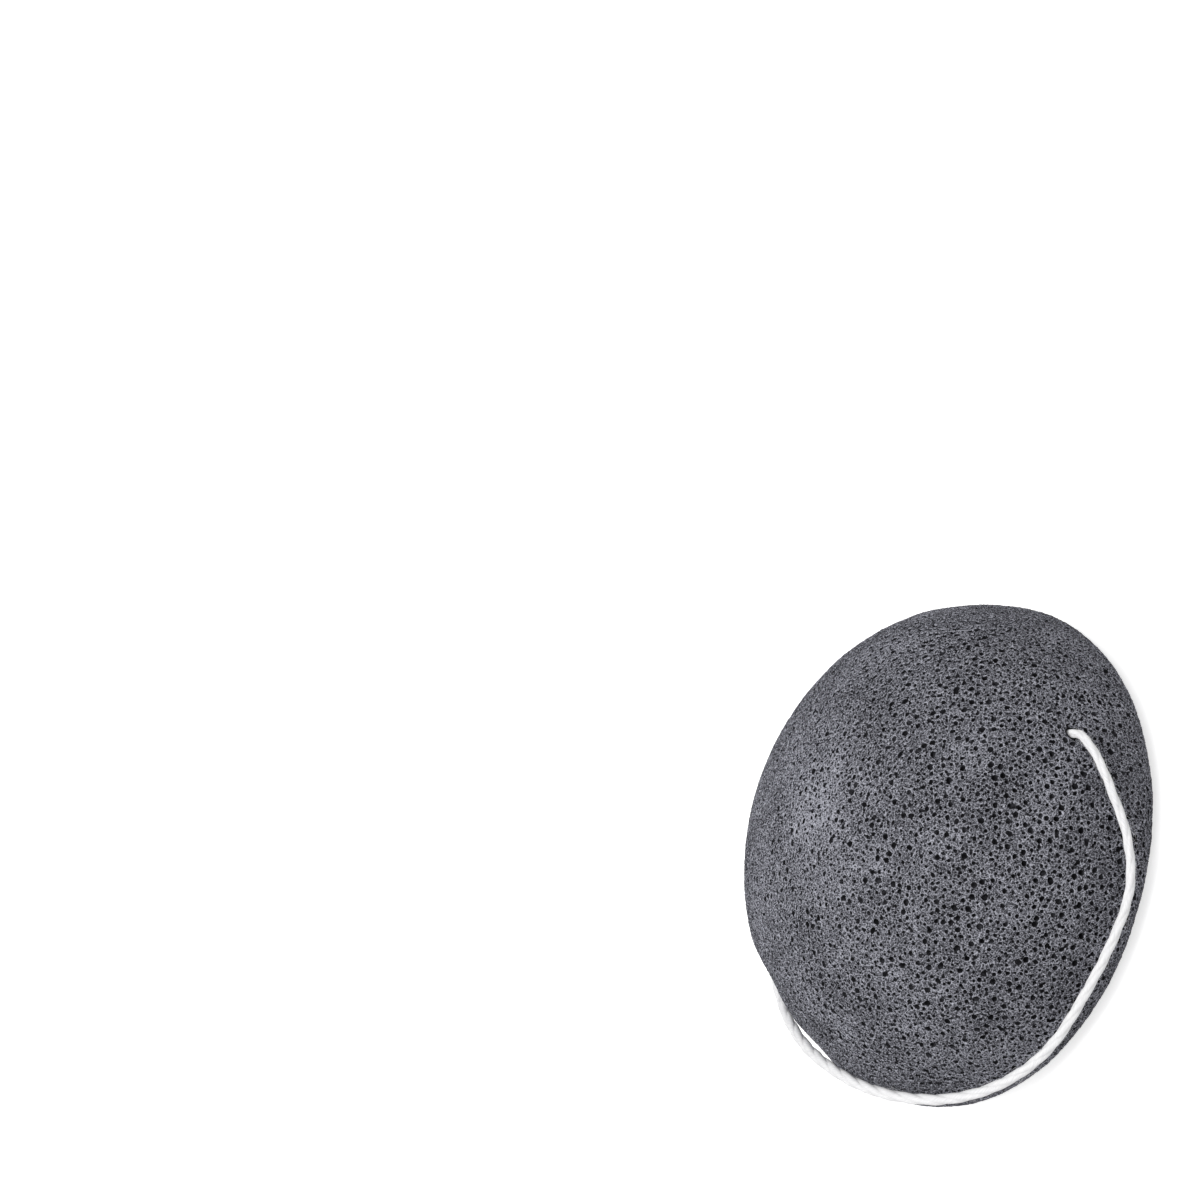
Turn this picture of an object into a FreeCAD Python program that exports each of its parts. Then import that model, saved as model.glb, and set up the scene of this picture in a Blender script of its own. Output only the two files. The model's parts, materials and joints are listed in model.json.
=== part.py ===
import FreeCAD, Part

import math
import os

import Sketcher
from FreeCAD import Placement, Rotation, Vector

# Half-ball konjac sponge, flat face down, with a cotton cord threaded through it and knotted inside.
# Millimetres. +Z is the dome's axis, +X runs along the cord's channel to its front mouth,
# and the origin is the middle of the flat face.

DRIVING_SIZES = {
    "sponge_diameter": 70.0,
    "sponge_height": 34.0,
    "rim_radius": 5.5,
    "shoulder_radius": 25.0,
    "channel_height": 14.6,
    "channel_clearance": 0.05,
    "mouth_flare": 0.5,
    "cord_diameter": 1.4,
    "knot_length": 6.0,
    "knot_diameter": 4.2,
    "knot_waist_diameter": 3.2,
    "knot_place": -12.0,
    "knot_clearance": 0.1,
}

# The free loop's points, chosen by hand: X, Y and the rise above the channel's axis.
LOOP_ROUTE = [
    (32.4, 0.0, 0.0),
    (33.7, 0.0, 0.0),
    (34.65, -0.95, 0.15),
    (34.8, -3.4, -0.7),
    (34.5, -7.9, -3.1),
    (33.6, -14.3, -6.6),
    (30.9, -20.8, -8.1),
    (25.9, -26.8, -7.6),
    (19.3, -32.2, -7.1),
    (11.7, -36.1, -6.9),
    (3.3, -37.5, -5.4),
    (-5.1, -36.5, -3.2),
    (-12.7, -33.1, -0.8),
    (-19.1, -28.4, 1.2),
    (-24.9, -23.2, 1.7),
    (-29.8, -17.3, 0.8),
    (-33.1, -10.8, -0.3),
    (-34.6, -6.4, -1.0),
    (-34.8, -3.3, -0.8),
    (-34.65, -0.95, -0.15),
    (-33.7, 0.0, 0.0),
    (-32.4, 0.0, 0.0),
]
FRONT_JOIN = LOOP_ROUTE[0][0]
BACK_JOIN = LOOP_ROUTE[-1][0]
BEND_SHARE = 0.45
KNOT_WRAPS = 3
ALONG_X = Rotation(Vector(0, 1, 0), 90)
AGAINST_X = Rotation(Vector(0, 1, 0), -90)

# Expressions that several features share, in the spreadsheet's names.
BORE_RADIUS = "(Sizes.cord_diameter / 2 + Sizes.channel_clearance)"
SHOULDER_DROP = "sqrt(Sizes.shoulder_radius ^ 2 - (Sizes.channel_height - Sizes.rim_radius) ^ 2)"
MOUTH_REACH = f"(Sizes.sponge_diameter / 2 - Sizes.shoulder_radius + {SHOULDER_DROP})"
KNOT_FRONT = "(Sizes.knot_place + Sizes.knot_length / 2)"
KNOT_BACK = "(Sizes.knot_place - Sizes.knot_length / 2)"

doc = FreeCAD.newDocument("konjac_sponge")
sheet = doc.addObject("Spreadsheet::Sheet", "Sizes")
for row, (alias, size) in enumerate(DRIVING_SIZES.items(), start=1):
    sheet.set(f"A{row}", alias)
    sheet.set(f"B{row}", str(size))
    sheet.setAlias(f"B{row}", alias)
doc.recompute()


def bind(thing, **expressions):
    """Ties an object's properties to the spreadsheet; a dot in a property's name is written as two underscores."""
    for name, expression in expressions.items():
        thing.setExpression(name.replace("__", "."), expression)


def new_body(name):
    """A body whose label names its STEP file."""
    body = doc.addObject("PartDesign::Body", name)
    body.Label = name
    return body


def new_sketch(body, name, role):
    """A sketch on one of the body's own upright origin planes: sketch y is Z."""
    sketch = body.newObject("Sketcher::SketchObject", name)
    plane = next(feature for feature in body.Origin.OriginFeatures if feature.Role == role)
    sketch.AttachmentSupport = [(plane, "")]
    sketch.MapMode = "FlatFace"
    return sketch


def constrain(sketch, *constraint):
    """Adds a geometric constraint."""
    sketch.addConstraint(Sketcher.Constraint(*constraint))


def measure(sketch, name, expression, *constraint):
    """Adds a sized constraint and ties it to the spreadsheet."""
    index = sketch.addConstraint(Sketcher.Constraint(*constraint))
    sketch.renameConstraint(index, name)
    sketch.setExpression(f"Constraints.{name}", expression)


def line(start, end):
    """A straight edge of a sketch."""
    return Part.LineSegment(Vector(*start), Vector(*end))


def arc(centre, radius, start_degrees, end_degrees):
    """A round edge of a sketch, anticlockwise."""
    circle = Part.Circle(Vector(*centre), Vector(0, 0, 1), radius)
    return Part.ArcOfCircle(circle, math.radians(start_degrees), math.radians(end_degrees))


def revolve(body, name, sketch, axis):
    """Turns a sketch into a solid about one of its own axes."""
    solid = body.newObject("PartDesign::Revolution", name)
    solid.Profile = sketch
    solid.ReferenceAxis = (sketch, [axis])
    solid.Angle = 360
    sketch.Visibility = False
    return solid


def draw_dome(body):
    """Half section of the sponge: flat face, round rim, shoulder and crown, each tangent to the next.

    It stands on the YZ plane, so that the dome's seam keeps clear of the mouths."""
    radius, height = sheet.sponge_diameter / 2, sheet.sponge_height
    rim, shoulder = sheet.rim_radius, sheet.shoulder_radius
    rise, run = height - rim, radius - shoulder
    crown = (run**2 + rise**2 - shoulder**2) / (2 * (rise - shoulder))
    turn = math.degrees(math.atan2(crown - rise, run))
    sketch = new_sketch(body, "DomeProfile", "YZ_Plane")
    flat_line = sketch.addGeometry(line((0, 0), (radius - rim, 0)))
    rim_arc = sketch.addGeometry(arc((radius - rim, rim), rim, -90, 0))
    shoulder_arc = sketch.addGeometry(arc((run, rim), shoulder, 0, turn))
    crown_arc = sketch.addGeometry(arc((0, height - crown), crown, turn, 90))
    axis_line = sketch.addGeometry(line((0, height), (0, 0)))
    constrain(sketch, "Coincident", flat_line, 1, -1, 1)
    constrain(sketch, "Horizontal", flat_line)
    constrain(sketch, "Tangent", flat_line, 2, rim_arc, 1)
    constrain(sketch, "Horizontal", rim_arc, 3, rim_arc, 2)
    constrain(sketch, "Tangent", rim_arc, 2, shoulder_arc, 1)
    constrain(sketch, "Tangent", shoulder_arc, 2, crown_arc, 1)
    constrain(sketch, "PointOnObject", crown_arc, 3, -2)
    constrain(sketch, "Coincident", crown_arc, 2, axis_line, 1)
    constrain(sketch, "Coincident", axis_line, 2, -1, 1)
    constrain(sketch, "Vertical", axis_line)
    measure(sketch, "reach", "Sizes.sponge_diameter / 2", "DistanceX", -1, 1, rim_arc, 2, radius)
    measure(sketch, "top", "Sizes.sponge_height", "DistanceY", -1, 1, crown_arc, 2, height)
    measure(sketch, "rim", "Sizes.rim_radius", "Radius", rim_arc, rim)
    measure(sketch, "shoulder", "Sizes.shoulder_radius", "Radius", shoulder_arc, shoulder)
    return sketch


def cut_round(body, kind, name, turned, **expressions):
    """Cuts a cylinder or cone that lies on the channel's axis out of a body."""
    cut = body.newObject(f"PartDesign::Subtractive{kind}", name)
    cut.Placement = Placement(Vector(0, 0, 0), turned)
    bind(cut, Placement__Base__z="Sizes.channel_height", **expressions)


def make_sponge():
    """The moulded half-ball, with the cord's channel, its two flared mouths and the knot's seat."""
    body = new_body("sponge_body")
    revolve(body, "Dome", draw_dome(body), "V_Axis")
    doc.recompute()
    cut_round(
        body, "Cylinder", "Channel", ALONG_X,
        Radius=BORE_RADIUS, Height="Sizes.sponge_diameter", Placement__Base__x="-Sizes.sponge_diameter / 2",
    )
    cut_round(
        body, "Cylinder", "KnotSeat", ALONG_X,
        Radius="Sizes.knot_diameter / 2 + Sizes.knot_clearance",
        Height="Sizes.knot_length + 2 * Sizes.knot_clearance",
        Placement__Base__x=f"{KNOT_BACK} - Sizes.knot_clearance",
    )
    for name, turned, side in (("FrontMouth", ALONG_X, ""), ("BackMouth", AGAINST_X, "-")):
        cut_round(
            body, "Cone", name, turned,
            Radius1=BORE_RADIUS, Radius2=f"{BORE_RADIUS} + 2 * Sizes.mouth_flare",
            Height="2 * Sizes.mouth_flare", Placement__Base__x=f"{side}({MOUTH_REACH} - Sizes.mouth_flare)",
        )
    return body


def make_run(name, start, end):
    """A straight stretch of cord in the channel, between two places along X."""
    run = doc.addObject("Part::Cylinder", name)
    run.Label = name
    run.Placement = Placement(Vector(0, 0, 0), ALONG_X)
    bind(
        run, Radius="Sizes.cord_diameter / 2", Height=f"{end} - {start}",
        Placement__Base__x=start, Placement__Base__z="Sizes.channel_height",
    )
    return run


def make_knot():
    """The tight barrel knot that closes the loop: round wraps side by side about the channel's axis."""
    body = new_body("cord_knot")
    length, wrap = sheet.knot_length, sheet.knot_length / KNOT_WRAPS
    waist, bulge = sheet.knot_waist_diameter / 2, (sheet.knot_diameter - sheet.knot_waist_diameter) / 2
    radius = (wrap**2 / 4 + bulge**2) / (2 * bulge)
    lean = math.degrees(math.asin(wrap / 2 / radius))
    sketch = new_sketch(body, "KnotProfile", "XZ_Plane")
    axis_line = sketch.addGeometry(line((-length / 2, 0), (length / 2, 0)))
    front_line = sketch.addGeometry(line((length / 2, 0), (length / 2, waist)))
    wraps = []
    for number in range(KNOT_WRAPS):
        centre = (length / 2 - wrap * (number + 0.5), waist + bulge - radius)
        wraps.append(sketch.addGeometry(arc(centre, radius, 90 - lean, 90 + lean)))
    back_line = sketch.addGeometry(line((-length / 2, waist), (-length / 2, 0)))
    constrain(sketch, "Symmetric", axis_line, 1, axis_line, 2, -1, 1)
    constrain(sketch, "Horizontal", axis_line)
    constrain(sketch, "Coincident", axis_line, 2, front_line, 1)
    constrain(sketch, "Vertical", front_line)
    constrain(sketch, "Coincident", front_line, 2, wraps[0], 1)
    for wrap_arc, following in zip(wraps, wraps[1:]):
        constrain(sketch, "Coincident", wrap_arc, 2, following, 1)
        constrain(sketch, "Equal", wrap_arc, following)
        constrain(sketch, "Horizontal", wrap_arc, 1, wrap_arc, 2)
    constrain(sketch, "Coincident", wraps[-1], 2, back_line, 1)
    constrain(sketch, "Vertical", back_line)
    constrain(sketch, "Coincident", back_line, 2, axis_line, 1)
    constrain(sketch, "Horizontal", wraps[-1], 1, wraps[-1], 2)
    measure(sketch, "long", "Sizes.knot_length", "DistanceX", axis_line, 1, axis_line, 2, length)
    measure(sketch, "waist", "Sizes.knot_waist_diameter / 2", "DistanceY", front_line, 1, front_line, 2, waist)
    for wrap_arc in wraps[:-1]:
        span = ("DistanceX", wrap_arc, 2, wrap_arc, 1, wrap)
        measure(sketch, f"span_{wrap_arc}", f"Sizes.knot_length / {KNOT_WRAPS}", *span)
    swell = "((Sizes.knot_diameter - Sizes.knot_waist_diameter) / 2)"
    half_span = f"(Sizes.knot_length / {KNOT_WRAPS} / 2)"
    measure(sketch, "swell", f"({half_span} ^ 2 + {swell} ^ 2) / (2 * {swell})", "Radius", wraps[0], radius)
    revolve(body, "Wraps", sketch, "H_Axis")
    bind(body, Placement__Base__x="Sizes.knot_place", Placement__Base__z="Sizes.channel_height")
    return body


def loop_wire():
    """Straight runs through the route's points, joined by tangent arcs, and the arcs' radii."""
    points = [Vector(*point) for point in LOOP_ROUTE]
    edges, radii = [], []
    here = points[0]
    for before, corner, after in zip(points, points[1:], points[2:]):
        back, ahead = before - corner, after - corner
        cut = BEND_SHARE * min(back.Length, ahead.Length)
        half_turn = (math.pi - back.getAngle(ahead)) / 2
        radius = cut / math.tan(half_turn)
        enter = corner + back.normalize() * cut
        leave = corner + ahead.normalize() * cut
        inwards = (back + ahead).normalize()
        middle = corner + inwards * (radius / math.cos(half_turn) - radius)
        edges.append(Part.LineSegment(here, enter).toShape())
        edges.append(Part.Arc(enter, middle, leave).toShape())
        radii.append(radius)
        here = leave
    edges.append(Part.LineSegment(here, points[-1]).toShape())
    return Part.Wire(edges), radii


def make_loop():
    """The free stretch of cord, a round tube along the loop's line."""
    wire, radii = loop_wire()
    route = doc.addObject("Part::Feature", "LoopLine")
    route.Shape = wire
    bind(route, Placement__Base__z="Sizes.channel_height")
    section = doc.addObject("Part::Circle", "LoopSection")
    section.Placement = Placement(Vector(FRONT_JOIN, 0, 0), ALONG_X)
    bind(section, Radius="Sizes.cord_diameter / 2", Placement__Base__z="Sizes.channel_height")
    loop = doc.addObject("Part::Sweep", "cord_loop")
    loop.Label = "cord_loop"
    loop.Sections = [section]
    loop.Spine = (route, [])
    loop.Solid = True
    doc.recompute()
    swept = math.pi * (sheet.cord_diameter / 2) ** 2 * wire.Length
    print("loop bend radii", [round(radius, 2) for radius in radii])
    print(f"loop length {wire.Length:.2f}, volume {loop.Shape.Volume:.3f}, section x length {swept:.3f}")
    return loop


parts = [
    make_sponge(),
    make_run("cord_front_run", KNOT_FRONT, f"{FRONT_JOIN}"),
    make_run("cord_back_run", f"{BACK_JOIN}", KNOT_BACK),
    make_knot(),
    make_loop(),
]
doc.recompute()

os.makedirs("parts", exist_ok=True)
for part in parts:
    if "Invalid" in part.State or "Error" in part.State:
        raise RuntimeError(f"{part.Label} did not build: {part.State}")
    if part.Shape.isNull() or not part.Shape.isValid():
        raise RuntimeError(f"{part.Label} has no valid solid")
    print(f"{part.Label}: {part.Shape.Volume:.2f} cubic mm, box {part.Shape.BoundBox}")
    part.Shape.exportStep(f"parts/{part.Label}.step")
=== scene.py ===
import json
import math

import bmesh
import bpy
import numpy as np
from mathutils import Matrix, Quaternion, Vector, kdtree, noise


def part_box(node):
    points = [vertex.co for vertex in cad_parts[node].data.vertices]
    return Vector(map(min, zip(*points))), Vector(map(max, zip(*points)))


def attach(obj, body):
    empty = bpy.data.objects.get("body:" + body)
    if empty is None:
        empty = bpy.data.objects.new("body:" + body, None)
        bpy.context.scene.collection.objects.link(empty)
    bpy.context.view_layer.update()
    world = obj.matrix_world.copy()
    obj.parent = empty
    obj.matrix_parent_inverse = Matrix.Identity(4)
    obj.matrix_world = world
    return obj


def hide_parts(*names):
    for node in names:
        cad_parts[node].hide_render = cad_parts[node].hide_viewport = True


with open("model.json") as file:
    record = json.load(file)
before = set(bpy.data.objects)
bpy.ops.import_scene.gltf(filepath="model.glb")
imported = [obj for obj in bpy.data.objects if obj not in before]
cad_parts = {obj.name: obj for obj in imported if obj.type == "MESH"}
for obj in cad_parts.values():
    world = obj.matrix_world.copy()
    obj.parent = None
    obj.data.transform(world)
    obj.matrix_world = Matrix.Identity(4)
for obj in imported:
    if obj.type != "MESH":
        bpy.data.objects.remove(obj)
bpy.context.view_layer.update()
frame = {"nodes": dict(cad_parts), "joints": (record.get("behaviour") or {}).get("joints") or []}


# Sponge: one half-ball of charcoal konjac foam. The paste is moulded, frozen and thawed, which leaves bubbles
# of every size open at its skin. The cord goes through one straight hole in it.
SKIN_PITCH = 0.00016
# The hole's height, half its length, and how far from its line a point of its wall can lie
HOLE_HEIGHT = frame["joints"][0]["pos_m"][2]
HOLE_REACH = 0.0329
HOLE_WALL = 0.00105
# The wider stretch round the knot: how far it goes past the knot's ends, and its wall
KNOT_ROOM = 0.0004
KNOT_WALL = 0.0024
# The dent at each mouth: its place along the hole, its reach and its depth
MOUTH_PLACE = 0.0331
MOUTH_REACH = 0.003
MOUTH_DEPTH = 0.0005
# The breadth of each swell and how far it stands out
SWELLS = ((0.011, 0.00016), (0.0042, 0.00007), (0.0008, 0.00007))
GRAIN_HEIGHT = 0.000035
# Where the flank is pressed flat beside the cord: its middle, its greatest and least reach, and its depth
PRESSED_MIDDLE = (-0.0278, -0.0145, 0.0185)
PRESSED_REACH = (0.013, 0.005)
PRESSED_DEPTH = 0.0008
# How many to a square centimetre, least radius, greatest radius, and depth for each unit of radius
BUBBLES = (
    (26, 0.00030, 0.00044, 1.9),
    (210, 0.00020, 0.00030, 2.0),
)
# How much longer than wide a bubble is, and the share of its full depth that it has
STRETCH = (1.0, 1.4)
DEPTH_SHARE = (0.5, 1.0)
# The chance of a bubble: everywhere, its change from patch to patch, its limits, and its share at the crown
EVEN_CHANCE = 0.85
PATCH_CHANCE = 0.5
CHANCE_LIMITS = (0.3, 1.2)
CROWN_SHARE = 0.6
PATCH_SIZE = 0.009
CROWN_HEIGHT = (0.025, 0.034)
# The share of bubbles that may run into another, how uneven their rims are, and how far off a rim is felt
CROWDED = 0.03
RAGGED = 0.3
RIM_SPAN = 0.0002

skin = frame["nodes"]["sponge_body"].data.copy()
welded = bmesh.new()
welded.from_mesh(skin)
bmesh.ops.remove_doubles(welded, verts=welded.verts, dist=1e-6)
welded.to_mesh(skin)
welded.free()
sponge = bpy.data.objects.new("sponge", skin)
bpy.context.collection.objects.link(sponge)
even_skin = sponge.modifiers.new("even skin", "REMESH")
even_skin.mode = "VOXEL"
even_skin.voxel_size = SKIN_PITCH
even_skin.use_smooth_shade = True
skin = bpy.data.meshes.new_from_object(sponge.evaluated_get(bpy.context.evaluated_depsgraph_get()))
sponge.modifiers.clear()
sponge.data = skin

count = len(skin.vertices)
places = np.empty(count * 3, np.float32)
skin.vertices.foreach_get("co", places)
places = places.reshape(-1, 3)
outward = np.empty(count * 3, np.float32)
skin.vertex_normals.foreach_get("vector", outward)
outward = outward.reshape(-1, 3)
knot_low, knot_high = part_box("cord_knot")
from_hole = np.hypot(places[:, 1], places[:, 2] - HOLE_HEIGHT)
in_hole = (from_hole < HOLE_WALL) & (np.abs(places[:, 0]) < HOLE_REACH)
beside_knot = (places[:, 0] > knot_low[0] - KNOT_ROOM) & (places[:, 0] < knot_high[0] + KNOT_ROOM)
in_hole |= beside_knot & (from_hole < KNOT_WALL)
open_skin = np.flatnonzero(~in_hole)
skin_area = sum(face.area for face in skin.polygons) * len(open_skin) / count
square_centimetres = skin_area * 1e4

chance = np.random.default_rng(21)
skin_points = kdtree.KDTree(count)
for index, place in enumerate(places):
    skin_points.insert(place, index)
skin_points.balance()


def eased(values, start, end):
    share = np.clip((values - start) / (end - start), 0.0, 1.0)
    return share * share * (3.0 - 2.0 * share)


# Depth is how far each point is cut in, and rim how far it lies inside the nearest bubble's rim
depth = np.zeros(count)
rim = np.full(count, -RIM_SPAN)
crown = eased(places[:, 2], *CROWN_HEIGHT)
patch = np.array([noise.noise(Vector(place) / PATCH_SIZE) for place in places])
likely = np.clip(EVEN_CHANCE + PATCH_CHANCE * patch, *CHANCE_LIMITS) * (1.0 - (1.0 - CROWN_SHARE) * crown)
likely = likely[open_skin]
likely /= likely.sum()
for per_cm2, least, greatest, steep in BUBBLES:
    number = int(per_cm2 * square_centimetres)
    seeds = chance.choice(open_skin, number, p=likely)
    radii = chance.uniform(least, greatest, number)
    stretches = chance.uniform(*STRETCH, number)
    bottoms = radii * steep * chance.uniform(*DEPTH_SHARE, number)
    leans = chance.normal(size=(number, 3))
    for seed, radius, stretch, bottom, lean in zip(seeds, radii, stretches, bottoms, leans):
        middle = Vector(places[seed])
        long_side = Vector(lean).normalized()
        around = skin_points.find_range(middle, radius * stretch + RIM_SPAN)
        if any(rim[index] > 0.0 for near, index, gap in around) and chance.random() > CROWDED:
            continue
        for near, index, gap in around:
            along = (near - middle).dot(long_side)
            across = max(gap * gap - along * along, 0.0)
            reach = math.sqrt(across + (along / stretch) ** 2) / radius
            reach *= 1.0 + RAGGED * noise.noise(near / radius)
            rim[index] = max(rim[index], radius * (1.0 - reach))
            depth[index] = max(depth[index], bottom * (1.0 - reach ** 3))
# The hole's wall counts as inside a bubble, so the foam is painted dark there as shade
rim[in_hole] = RIM_SPAN

swell = chance.normal(0.0, GRAIN_HEIGHT, count) - depth
for size, height in SWELLS:
    swell += [height * noise.noise(Vector(place) / size) for place in places]
swell -= PRESSED_DEPTH * eased(np.linalg.norm(places - PRESSED_MIDDLE, axis=1), *PRESSED_REACH)
from_mouth = np.hypot(from_hole, np.abs(places[:, 0]) - MOUTH_PLACE)
swell -= MOUTH_DEPTH * eased(from_mouth, MOUTH_REACH, 0.0)
swell[in_hole] = 0.0
places += (outward * swell[:, None]).astype(np.float32)
places[:, 2] = np.maximum(places[:, 2], 0.0)
skin.vertices.foreach_set("co", places.ravel())
# The rim is kept on the skin for the foam, which paints shade inside the bubbles and the hole
bubble_rim = skin.attributes.new("bubble_rim", "FLOAT", "POINT")
bubble_rim.data.foreach_set("value", (rim / RIM_SPAN).astype(np.float32))
skin.update()

# The skin laid flat for a texture: the dome as a round map, the base as a disc and the hole as a strip
LAYOUT_SIDE = 0.139
DOME_SEEN_FROM = 0.004
DOME_PER_RADIAN = 0.030
DOME_SPOT = 0.0518
BASE_REACH = 0.0285
BASE_DEPTH = 0.0012
BASE_SPOT = 0.1092
STRIP_START = (0.037, 0.124)
STRIP_WIDTH = 0.011
corner_point = np.empty(len(skin.loops), np.int32)
skin.loops.foreach_get("vertex_index", corner_point)
face_start = np.empty(len(skin.polygons), np.int32)
skin.polygons.foreach_get("loop_start", face_start)
face_sides = np.empty(len(skin.polygons), np.int32)
skin.polygons.foreach_get("loop_total", face_sides)
in_base = (places[:, 2] < BASE_DEPTH) & (np.hypot(places[:, 0], places[:, 1]) < BASE_REACH)
corner_in_base = np.repeat(in_base[corner_point[face_start]], face_sides)
corner_in_hole = np.repeat(in_hole[corner_point[face_start]], face_sides)
across, deep, tall = places[corner_point].T
round_dome = np.arctan2(deep, across)
down_dome = DOME_PER_RADIAN * np.arctan2(np.hypot(across, deep), tall - DOME_SEEN_FROM)
layout = DOME_SPOT + np.stack((down_dome * np.cos(round_dome), down_dome * np.sin(round_dome)), 1)
flat_base = BASE_SPOT + np.stack((across, deep), 1)
round_hole = np.abs(np.arctan2(deep, tall - HOLE_HEIGHT)) / math.pi
strip = np.stack((STRIP_START[0] + across, STRIP_START[1] + STRIP_WIDTH * round_hole), 1)
layout[corner_in_base] = flat_base[corner_in_base]
layout[corner_in_hole] = strip[corner_in_hole]
flat_skin = skin.uv_layers.new(name="OFBake")
flat_skin.data.foreach_set("uv", (layout / LAYOUT_SIDE).astype(np.float32).ravel())


def add_node(tree, kind, **settings):
    node = tree.nodes.new(kind)
    for name, value in settings.items():
        if name in node.inputs:
            node.inputs[name].default_value = value
        else:
            setattr(node, name, value)
    return node


def weighed(tree, value, low, high, out_low, out_high):
    """Reads a value between low and high as one between out_low and out_high."""
    span = tree.nodes.new("ShaderNodeMapRange")
    span.inputs["From Min"].default_value = low
    span.inputs["From Max"].default_value = high
    span.inputs["To Min"].default_value = out_low
    span.inputs["To Max"].default_value = out_high
    tree.links.new(value, span.inputs["Value"])
    return span.outputs["Result"]


def joined(tree, operation, *values):
    total = values[0]
    for value in values[1:]:
        step = tree.nodes.new("ShaderNodeMath")
        step.operation = operation
        tree.links.new(total, step.inputs[0])
        tree.links.new(value, step.inputs[1])
        total = step.outputs["Value"]
    return total


# The foam's greys from the painted shade at a bubble's floor to its lip, and the tone that has the middle one
FOAM_SHADE_BLACK = (0.006, 0.006, 0.007, 1.0)
FOAM_GREY = (0.111, 0.112, 0.129, 1.0)
FOAM_PALE = (0.54, 0.545, 0.615, 1.0)
GREY_TONE = 0.55
# Cells to a metre, and how far their walls sway
CELLS = 1700.0
SMALL_CELLS = 2800.0
LEAST_CELLS = 4600.0
SWAY = 0.00025
# The least and greatest opening in a cell, in cells, the share of cells that are open, and that choice's edge
OPENING_SIZE = (0.25, 0.46)
OPEN_SHARE = 0.7
OPEN_EDGE = 0.02
# A painted highlight near the top of the dome, a paler spot in the foam's colour, and how deep the fine
# bubbles look
PAINTED_HIGHLIGHT = (0.0025, 0.0006, 0.034)
RELIEF = 0.00016
# Each line below is the two values that a pattern is read at, and what it gives at each
# Painted shade: how dark an opening's inside is painted, and where that fades at its edge
OPENING_DARKNESS = (0.0, 1.0, 0.5, 1.0)
OPENING_FADE = (0.75, 1.0, 1.0, 0.0)
LIP_FADE = (1.0, 1.5, 1.0, 0.0)
# Painted shade: a cell is darkest at its middle and clear at its wall
CELL_FADE = (0.16, 0.52, 1.0, 0.0)
CROWD_BY_PATCH = (0.3, 0.7, -0.12, 0.12)
CROWD_BY_HEIGHT = (*CROWN_HEIGHT, 0.0, -0.2)
# Painted shade: dark inside the cut bubbles and the hole
CUT_FADE = (0.0, 0.25, 0.0, 1.0)
CUT_LIP_FADE = (-0.7, -0.05, 0.0, 1.0)
WEB_TONE = (0.25, 0.75, -0.05, 0.76)
WALL_TONE = (0.02, 0.11, 0.32, 0.0)
SMALL_WALL_TONE = (0.02, 0.15, 0.30, 0.0)
# Painted shade in the small cells, more in some than in others
SMALL_CELL_SHADE = (0.4, 1.0, -0.05, -0.8)
LEAST_CELL_SHADE = (0.4, 1.0, -0.05, -0.5)
PATCH_TONE = (0.3, 0.7, -0.1, 0.1)
# Painted glints: small pale specks scattered over the foam
GLINT_SPECK_TONE = (0.07, 0.16, 0.25, 0.0)
# Painted light: the foam a little paler towards the top of the dome, where the lamp falls most
CROWN_PAINTED_LIGHT = (*CROWN_HEIGHT, 0.0, 0.04)
# Painted highlight: the foam paler round a spot near the top of the dome
PAINTED_HIGHLIGHT_TONE = (0.002, 0.0085, 0.16, 0.0)
LIP_TONE = (0.0, 1.0, 0.0, 0.26)
# Painted shade: how dark a bubble's floor is painted, from black to dark grey
PORE_FLOOR_SHADE = (0.45, 0.7, 0.02, 0.22)

foam = bpy.data.materials.new("charcoal_foam")
foam.use_nodes = True
nodes = foam.node_tree
surface = nodes.nodes["Principled BSDF"]
surface.inputs["Roughness"].default_value = 0.9
surface.inputs["Specular IOR Level"].default_value = 0.08
spot = add_node(nodes, "ShaderNodeTexCoord").outputs["Object"]


def opened(tree, pattern, crowd):
    """Round openings in some cells of a pattern: their inside, painted dark as shade, and their lip."""
    lot = tree.nodes.new("ShaderNodeSeparateColor")
    tree.links.new(pattern.outputs["Color"], lot.inputs["Color"])
    chosen = joined(tree, "ADD", lot.outputs["Red"], crowd)
    closed_share = 1.0 - OPEN_SHARE
    chosen = weighed(tree, chosen, closed_share - OPEN_EDGE, closed_share + OPEN_EDGE, 0.0, 1.0)
    size = weighed(tree, lot.outputs["Green"], 0.0, 1.0, *OPENING_SIZE)
    reach = joined(tree, "DIVIDE", pattern.outputs["Distance"], size)
    dark = weighed(tree, lot.outputs["Blue"], *OPENING_DARKNESS)
    inside = joined(tree, "MULTIPLY", chosen, dark, weighed(tree, reach, *OPENING_FADE))
    lip = joined(tree, "MULTIPLY", chosen, weighed(tree, reach, *LIP_FADE))
    return inside, lip


def cell_shade(tree, pattern, shades):
    """Paints shade into each cell, darker from its wall to its middle, one cell more than another."""
    lot = tree.nodes.new("ShaderNodeSeparateColor")
    tree.links.new(pattern.outputs["Color"], lot.inputs["Color"])
    shade = weighed(tree, lot.outputs["Blue"], *shades)
    return joined(tree, "MULTIPLY", shade, weighed(tree, pattern.outputs["Distance"], *CELL_FADE))


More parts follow.
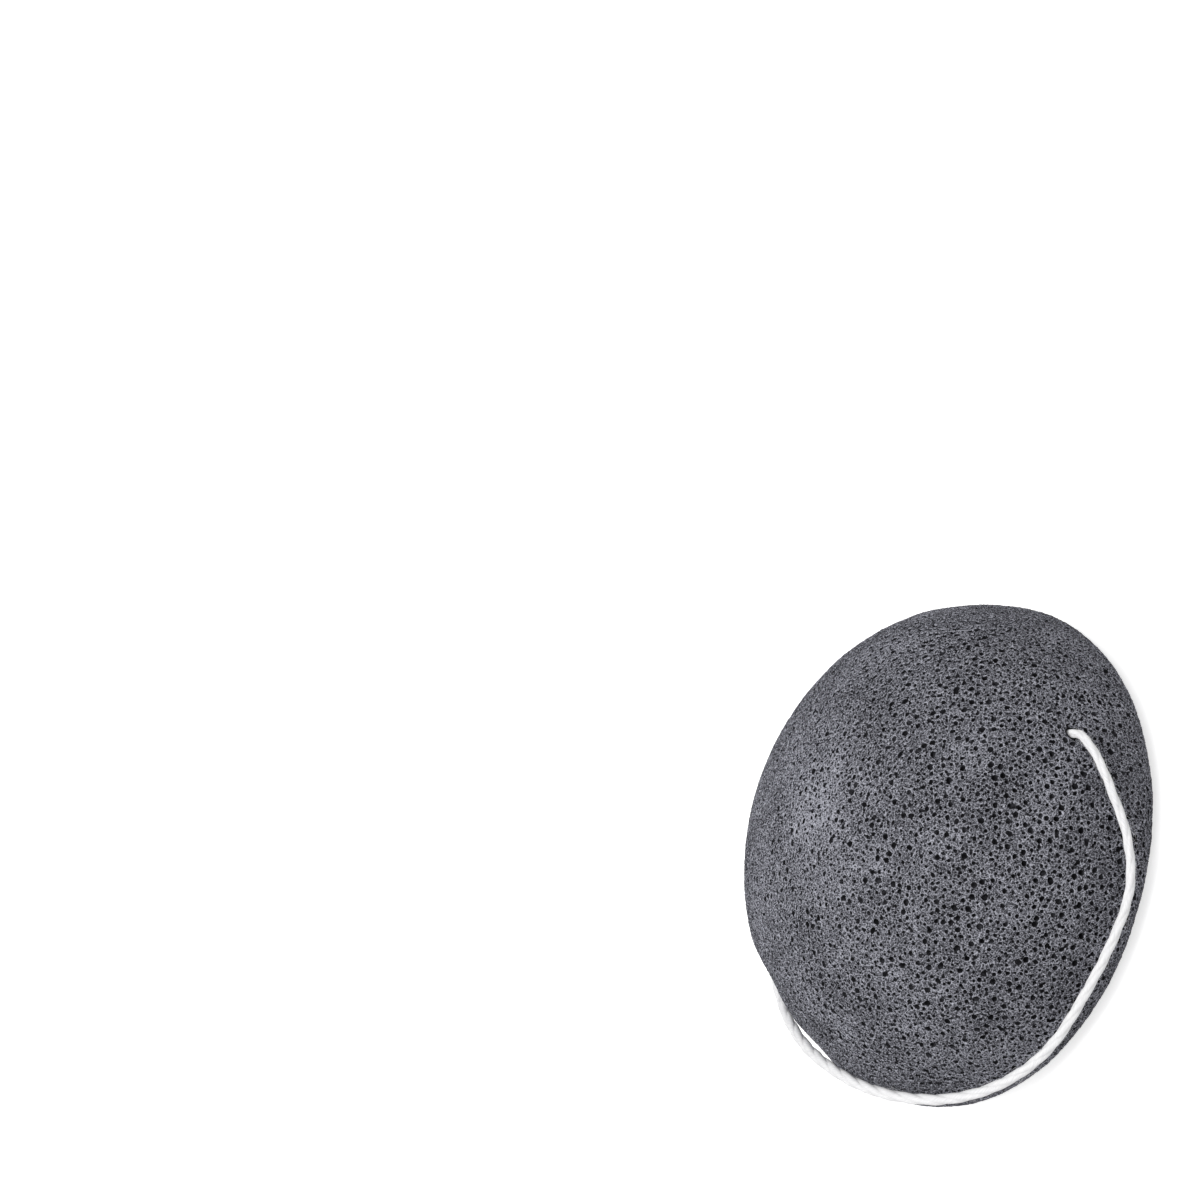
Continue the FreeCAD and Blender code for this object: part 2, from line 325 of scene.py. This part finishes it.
# Bubbles too fine to be cut into the mesh, painted as dark spots of shade, and the cells of the web between
# them
sway = add_node(nodes, "ShaderNodeTexNoise", Scale=1500.0, Detail=1.0)
nodes.links.new(spot, sway.inputs["Vector"])
swayed = add_node(nodes, "ShaderNodeVectorMath", operation="MULTIPLY_ADD")
swayed.inputs[1].default_value = (SWAY, SWAY, SWAY)
nodes.links.new(sway.outputs["Color"], swayed.inputs[0])
nodes.links.new(spot, swayed.inputs[2])
cells = add_node(nodes, "ShaderNodeTexVoronoi", feature="F1", Scale=CELLS)
small_cells = add_node(nodes, "ShaderNodeTexVoronoi", feature="F1", Scale=SMALL_CELLS)
least_cells = add_node(nodes, "ShaderNodeTexVoronoi", feature="F1", Scale=LEAST_CELLS)
walls = add_node(nodes, "ShaderNodeTexVoronoi", feature="DISTANCE_TO_EDGE", Scale=CELLS)
small_walls = add_node(nodes, "ShaderNodeTexVoronoi", feature="DISTANCE_TO_EDGE", Scale=SMALL_CELLS)
# The painted highlight: how far each point lies from its spot near the top of the dome
painted_highlight = add_node(nodes, "ShaderNodeVectorMath", operation="DISTANCE")
painted_highlight.inputs[1].default_value = PAINTED_HIGHLIGHT
nodes.links.new(swayed.outputs["Vector"], painted_highlight.inputs[0])
for pattern in (cells, small_cells, least_cells, walls, small_walls):
    pattern.inputs["Randomness"].default_value = 1.0
    nodes.links.new(swayed.outputs["Vector"], pattern.inputs["Vector"])
web = add_node(nodes, "ShaderNodeTexNoise", Scale=5500.0, Detail=2.0, Roughness=0.6)
patches = add_node(nodes, "ShaderNodeTexNoise", Scale=110.0, Detail=3.0, Roughness=0.6)
# Small pale specks painted as glints
glint_specks = add_node(nodes, "ShaderNodeTexVoronoi", feature="F1", Scale=800.0, Randomness=1.0)
height = add_node(nodes, "ShaderNodeSeparateXYZ")
floors = add_node(nodes, "ShaderNodeTexNoise", Scale=1100.0, Detail=1.0)
for pattern in (web, patches, glint_specks, height, floors):
    nodes.links.new(spot, pattern.inputs["Vector"])
cut_rim = add_node(nodes, "ShaderNodeAttribute", attribute_name="bubble_rim").outputs["Fac"]
crowd = joined(
    nodes,
    "ADD",
    weighed(nodes, patches.outputs["Fac"], *CROWD_BY_PATCH),
    weighed(nodes, height.outputs["Z"], *CROWD_BY_HEIGHT),
)
inside, lip = opened(nodes, cells, crowd)
# Painted shade inside the cut bubbles and the hole
cut_painted_shade = weighed(nodes, cut_rim, *CUT_FADE)
cut_lip = weighed(nodes, cut_rim, *CUT_LIP_FADE)
ground = joined(
    nodes,
    "ADD",
    weighed(nodes, web.outputs["Fac"], *WEB_TONE),
    weighed(nodes, walls.outputs["Distance"], *WALL_TONE),
    weighed(nodes, small_walls.outputs["Distance"], *SMALL_WALL_TONE),
    cell_shade(nodes, small_cells, SMALL_CELL_SHADE),
    cell_shade(nodes, least_cells, LEAST_CELL_SHADE),
    weighed(nodes, patches.outputs["Fac"], *PATCH_TONE),
    weighed(nodes, glint_specks.outputs["Distance"], *GLINT_SPECK_TONE),
    # Painted light towards the top of the dome
    weighed(nodes, height.outputs["Z"], *CROWN_PAINTED_LIGHT),
    weighed(nodes, painted_highlight.outputs["Value"], *PAINTED_HIGHLIGHT_TONE),
    weighed(nodes, joined(nodes, "MAXIMUM", lip, cut_lip), *LIP_TONE),
)
# Painted shade: the openings and cut bubbles are painted dark, down to their floor's grey
pore_floor_shade = weighed(nodes, floors.outputs["Fac"], *PORE_FLOOR_SHADE)
painted_pore_shade = joined(nodes, "MAXIMUM", inside, cut_painted_shade)
closed_skin = weighed(nodes, painted_pore_shade, 0.0, 1.0, 1.0, 0.0)
nodes.links.new(pore_floor_shade, closed_skin.node.inputs["To Max"])
tone = joined(nodes, "MULTIPLY", ground, closed_skin)
greys = add_node(nodes, "ShaderNodeValToRGB")
greys.color_ramp.elements[0].color = FOAM_SHADE_BLACK
greys.color_ramp.elements[1].color = FOAM_PALE
greys.color_ramp.elements.new(GREY_TONE).color = FOAM_GREY
nodes.links.new(tone, greys.inputs["Fac"])
nodes.links.new(greys.outputs["Color"], surface.inputs["Base Color"])
bump = add_node(nodes, "ShaderNodeBump", Strength=0.8, Distance=RELIEF)
nodes.links.new(tone, bump.inputs["Height"])
nodes.links.new(bump.outputs["Normal"], surface.inputs["Normal"])
skin.materials.clear()
skin.materials.append(foam)

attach(sponge, "sponge")
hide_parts("sponge_body")


# Cord loop: the free stretch of one white cotton cord, three plies twisted together. It comes out of the
# hole's front mouth, lies round the flank under its own weight and goes back in at the far mouth.
CORD_DIAMETER = 0.0014
PLIES = 3
PLY_RADIUS = 0.00048
PLY_OFFSET = 0.00020
TWIST_LENGTH = 0.011
# How uneven a ply's thickness is, over what length, and how far apart the plies read the pattern
PLY_UNEVEN = 0.08
UNEVEN_LENGTH = 0.0011
PLY_APART = 7.3
# One turn of a ply's own fibres, their pattern's scale along it, and how far apart the plies read it
FIBRE_TURN = 0.0045
FIBRE_STRETCH = 0.1
PLY_LAY = 0.01
# Loose fibres to a metre of cord, the length of each, and their thickness beside a ply's
LOOSE_FIBRES = 6000
LOOSE_LENGTH = (0.0004, 0.0014)
LOOSE_THICKNESS = 0.018
# Where in the cord's radius a loose fibre starts, how far it splays, lifts and curls, and how it thins
LOOSE_ROOT = 0.9
LOOSE_SPLAY = 0.4
LOOSE_LIFT = (0.1, 0.45)
LOOSE_CURL = 2.2
LOOSE_THINNING = 0.6
LOOSE_STEPS = 3
# How full the slack twist lies beside an even one, at shares of the way from the front mouth to the back one
LOOP_FULLNESS = ((0.0, 0.8, 1.0), (0.9, 1.22, 1.0))
# Metres along the hole, across it and above it
LOOP_ROUTE = (
    (0.0324, 0.0, 0.0),
    (0.0334, -0.0001, -0.0003),
    (0.0344, -0.0014, -0.0007),
    (0.0346, -0.0034, -0.0019),
    (0.0345, -0.0063, -0.0032),
    (0.0341, -0.0093, -0.0044),
    (0.0335, -0.0143, -0.0064),
    (0.0309, -0.0208, -0.0081),
    (0.0259, -0.0268, -0.0075),
    (0.0193, -0.0322, -0.0067),
    (0.0117, -0.0361, -0.0067),
    (0.0033, -0.0375, -0.0055),
    (-0.0051, -0.0365, -0.0032),
    (-0.0127, -0.0331, -0.0008),
    (-0.0189, -0.0286, 0.0009),
    (-0.0243, -0.0229, 0.0015),
    (-0.0288, -0.0175, 0.0010),
    (-0.0326, -0.0112, -0.0001),
    (-0.0343, -0.0068, -0.0009),
    (-0.0348, -0.0036, -0.0010),
    (-0.0344, -0.0014, -0.0007),
    (-0.0334, -0.0001, -0.0003),
    (-0.0324, 0.0, 0.0),
)


def cord_line(route):
    """The smooth line of a route, as points read from its NURBS spline."""
    curve = bpy.data.curves.new("cord_line", "CURVE")
    curve.dimensions = "3D"
    curve.resolution_u = 32
    spline = curve.splines.new("NURBS")
    spline.points.add(len(route) - 1)
    for point, (along, across, rise) in zip(spline.points, route):
        point.co = (along, across, HOLE_HEIGHT + rise, 1.0)
    spline.order_u = 3
    spline.use_endpoint_u = True
    holder = bpy.data.objects.new("cord_line", curve)
    traced = bpy.data.meshes.new_from_object(holder)
    line = [vertex.co.copy() for vertex in traced.vertices]
    bpy.data.objects.remove(holder)
    bpy.data.meshes.remove(traced)
    bpy.data.curves.remove(curve)
    return line


def twisted_cord(name, line, fullness, loose_fibres):
    """Plies wound round a line, with loose fibres; each point knows its place in its ply's lay."""
    curve = bpy.data.curves.new(name, "CURVE")
    curve.dimensions = "3D"
    curve.bevel_depth = PLY_RADIUS
    curve.bevel_resolution = 4
    curve.use_fill_caps = True
    last = len(line) - 1
    headings = [(line[min(i + 1, last)] - line[max(i - 1, 0)]).normalized() for i in range(len(line))]
    side = headings[0].orthogonal().normalized()
    run = 0.0
    stations = []
    for i, place in enumerate(line):
        if i:
            side = headings[i - 1].rotation_difference(headings[i]) @ side
            run += (place - line[i - 1]).length
        stations.append((place, side.copy(), headings[i].cross(side), run))
    whole = run
    ply_middles = kdtree.KDTree(PLIES * len(line))
    for ply in range(PLIES):
        strand = curve.splines.new("POLY")
        strand.points.add(last)
        for i, (point, (place, out, over, run)) in enumerate(zip(strand.points, stations)):
            turn = math.tau * (run / TWIST_LENGTH + ply / PLIES)
            full = float(np.interp(run / whole, *fullness))
            middle = place + full * PLY_OFFSET * (math.cos(turn) * out + math.sin(turn) * over)
            ply_middles.insert(middle, ply * len(line) + i)
            point.co = (*middle, 1.0)
            uneven = noise.noise(Vector((run / UNEVEN_LENGTH, ply * PLY_APART, 0.0)))
            point.radius = full * (1.0 + PLY_UNEVEN * uneven)
    ply_middles.balance()

    fuzz = np.random.default_rng(5)
    for fibre in range(int(loose_fibres * whole)):
        place, out, over, run = stations[fuzz.integers(len(stations))]
        full = float(np.interp(run / whole, *fullness))
        turn = fuzz.uniform(0.0, math.tau)
        away = math.cos(turn) * out + math.sin(turn) * over
        onward = out.cross(over) * fuzz.choice((-1.0, 1.0))
        sideways = onward + away.cross(out) * fuzz.normal(0.0, LOOSE_SPLAY)
        length = fuzz.uniform(*LOOSE_LENGTH)
        lift = fuzz.uniform(*LOOSE_LIFT)
        strand = curve.splines.new("POLY")
        strand.points.add(LOOSE_STEPS)
        for step, point in enumerate(strand.points):
            share = step / LOOSE_STEPS
            root = LOOSE_ROOT * full * CORD_DIAMETER / 2
            off = away * (root + lift * length * math.sin(share * LOOSE_CURL))
            point.co = (*(place + off + sideways * length * share), 1.0)
            point.radius = LOOSE_THICKNESS * (1.0 - LOOSE_THINNING * share)
    holder = bpy.data.objects.new(name, curve)
    plies = bpy.data.meshes.new_from_object(holder)
    bpy.data.objects.remove(holder)
    bpy.data.curves.remove(curve)
    for face in plies.polygons:
        face.use_smooth = True
    lay = plies.attributes.new("lay", "FLOAT_VECTOR", "POINT")
    for vertex, drawn in zip(plies.vertices, lay.data):
        middle, index, gap = ply_middles.find(vertex.co)
        ply, i = divmod(index, len(line))
        place, out, over, run = stations[i]
        off = Vector(((vertex.co - middle).dot(out), (vertex.co - middle).dot(over)))
        off.rotate(Matrix.Rotation(math.tau * run / FIBRE_TURN, 2))
        drawn.vector = (off.x, off.y, ply * PLY_LAY + FIBRE_STRETCH * run)
    cord = bpy.data.objects.new(name, plies)
    bpy.context.collection.objects.link(cord)
    return cord


COTTON_SHADE = (0.75, 0.75, 0.765, 1.0)
COTTON_WHITE = (0.93, 0.925, 0.93, 1.0)
COTTON_RELIEF = 0.00007
cotton = bpy.data.materials.new("white_cotton")
cotton.use_nodes = True
nodes = cotton.node_tree
surface = nodes.nodes["Principled BSDF"]
surface.inputs["Roughness"].default_value = 0.9
surface.inputs["Specular IOR Level"].default_value = 0.25
surface.inputs["Sheen Weight"].default_value = 0.15
lay = add_node(nodes, "ShaderNodeAttribute", attribute_name="lay").outputs["Vector"]
fibres = add_node(nodes, "ShaderNodeTexNoise", Scale=9000.0, Detail=3.0, Roughness=0.6)
nodes.links.new(lay, fibres.inputs["Vector"])
whites = add_node(nodes, "ShaderNodeValToRGB")
whites.color_ramp.elements[0].position = 0.3
whites.color_ramp.elements[0].color = COTTON_SHADE
whites.color_ramp.elements[1].position = 0.6
whites.color_ramp.elements[1].color = COTTON_WHITE
nodes.links.new(fibres.outputs["Fac"], whites.inputs["Fac"])
nodes.links.new(whites.outputs["Color"], surface.inputs["Base Color"])
bump = add_node(nodes, "ShaderNodeBump", Strength=0.7, Distance=COTTON_RELIEF)
nodes.links.new(fibres.outputs["Fac"], bump.inputs["Height"])
nodes.links.new(bump.outputs["Normal"], surface.inputs["Normal"])

loop_line = cord_line(LOOP_ROUTE)
loop = twisted_cord("cord_loop_plies", loop_line, LOOP_FULLNESS, LOOSE_FIBRES)
loop.data.materials.append(cotton)
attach(loop, "cord")
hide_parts("cord_loop")


# Cord in the hole: the same cord from mouth to mouth, straight, with three turns of it wrapped round the run
# and drawn tight as the knot that closes the loop. The knot lies in the foam, out of sight.
RUN_ROUTE = (
    (0.0324, 0.0, 0.0),
    (0.012, 0.0, 0.0),
    (-0.012, 0.0, 0.0),
    (-0.0324, 0.0, 0.0),
)
EVEN_FULLNESS = ((0.0, 1.0), (1.0, 1.0))
KNOT_PLACE = (knot_low[0] + knot_high[0]) / 2
KNOT_TURNS = 3
KNOT_PITCH = 0.0015
KNOT_STEPS = 12
run = twisted_cord("cord_run_plies", cord_line(RUN_ROUTE), EVEN_FULLNESS, 0)
run.data.materials.append(cotton)
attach(run, "cord")
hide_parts("cord_front_run", "cord_back_run")

wraps = []
for step in range(KNOT_TURNS * KNOT_STEPS + 1):
    turn = math.tau * step / KNOT_STEPS
    along = KNOT_PLACE + KNOT_PITCH * (step / KNOT_STEPS - KNOT_TURNS / 2)
    wraps.append((along, CORD_DIAMETER * math.cos(turn), CORD_DIAMETER * math.sin(turn)))
knot = twisted_cord("cord_knot_wraps", cord_line(wraps), EVEN_FULLNESS, 0)
knot.data.materials.append(cotton)
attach(knot, "cord")
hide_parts("cord_knot")


# Floor: a plain white board under the sponge, seen white by the camera, with the sponge's shadow kept on it.
# It isn't part of the object.
BOARD_REACH = 4.0
BOARD_GLOW = 0.7
board_mesh = bpy.data.meshes.new("board")
plate = bmesh.new()
bmesh.ops.create_grid(plate, x_segments=1, y_segments=1, size=BOARD_REACH)
plate.to_mesh(board_mesh)
plate.free()
board = bpy.data.objects.new("board", board_mesh)
bpy.context.collection.objects.link(board)
paper = bpy.data.materials.new("white_board")
paper.use_nodes = True
nodes = paper.node_tree
surface = nodes.nodes["Principled BSDF"]
surface.inputs["Base Color"].default_value = (0.8, 0.8, 0.8, 1.0)
surface.inputs["Roughness"].default_value = 1.0
surface.inputs["Specular IOR Level"].default_value = 0.0
surface.inputs["Emission Color"].default_value = (1.0, 1.0, 1.0, 1.0)
light_path = add_node(nodes, "ShaderNodeLightPath")
seen = joined(
    nodes,
    "ADD",
    light_path.outputs["Is Camera Ray"],
    light_path.outputs["Is Glossy Ray"],
    light_path.outputs["Is Transmission Ray"],
)
nodes.links.new(weighed(nodes, seen, 0.0, 1.0, 0.0, BOARD_GLOW), surface.inputs["Emission Strength"])
board_mesh.materials.append(paper)


# Light: an even white room and one wide soft lamp overhead.
ROOM_STRENGTH = 0.32
LAMP_STRENGTH = 2.6
LAMP_BREADTH = math.radians(55.0)
LAMP_SIDE = Vector((0.17, -0.2, 0.965))
world = bpy.data.worlds.new("studio")
bpy.context.scene.world = world
world.use_nodes = True
room = world.node_tree.nodes["Background"]
room.inputs["Color"].default_value = (1.0, 1.0, 1.0, 1.0)
room.inputs["Strength"].default_value = ROOM_STRENGTH
lamp_data = bpy.data.lights.new("overhead", "SUN")
lamp_data.energy = LAMP_STRENGTH
lamp_data.angle = LAMP_BREADTH
lamp = bpy.data.objects.new("overhead", lamp_data)
bpy.context.collection.objects.link(lamp)
lamp.rotation_mode = "QUATERNION"
lamp.rotation_quaternion = LAMP_SIDE.to_track_quat("Z", "Y")


# Camera: set to the photograph's view by a fit, which rolls it most of a quarter turn.
CAMERA_PLACE = Vector((0.53218, -0.38691, 0.51233))
CAMERA_AIM = Vector((-0.07784, 0.08627, 0.0))
CAMERA_ROLL = math.radians(-74.546)
camera_data = bpy.data.cameras.new("camera")
camera_data.lens = 180.0
camera_data.sensor_width = 36.0
camera = bpy.data.objects.new("camera", camera_data)
bpy.context.collection.objects.link(camera)
camera.location = CAMERA_PLACE
camera.rotation_mode = "QUATERNION"
level = (CAMERA_AIM - CAMERA_PLACE).to_track_quat("-Z", "Y")
camera.rotation_quaternion = level @ Quaternion((0.0, 0.0, 1.0), CAMERA_ROLL)
bpy.context.scene.camera = camera
bpy.context.scene.view_settings.view_transform = "Standard"
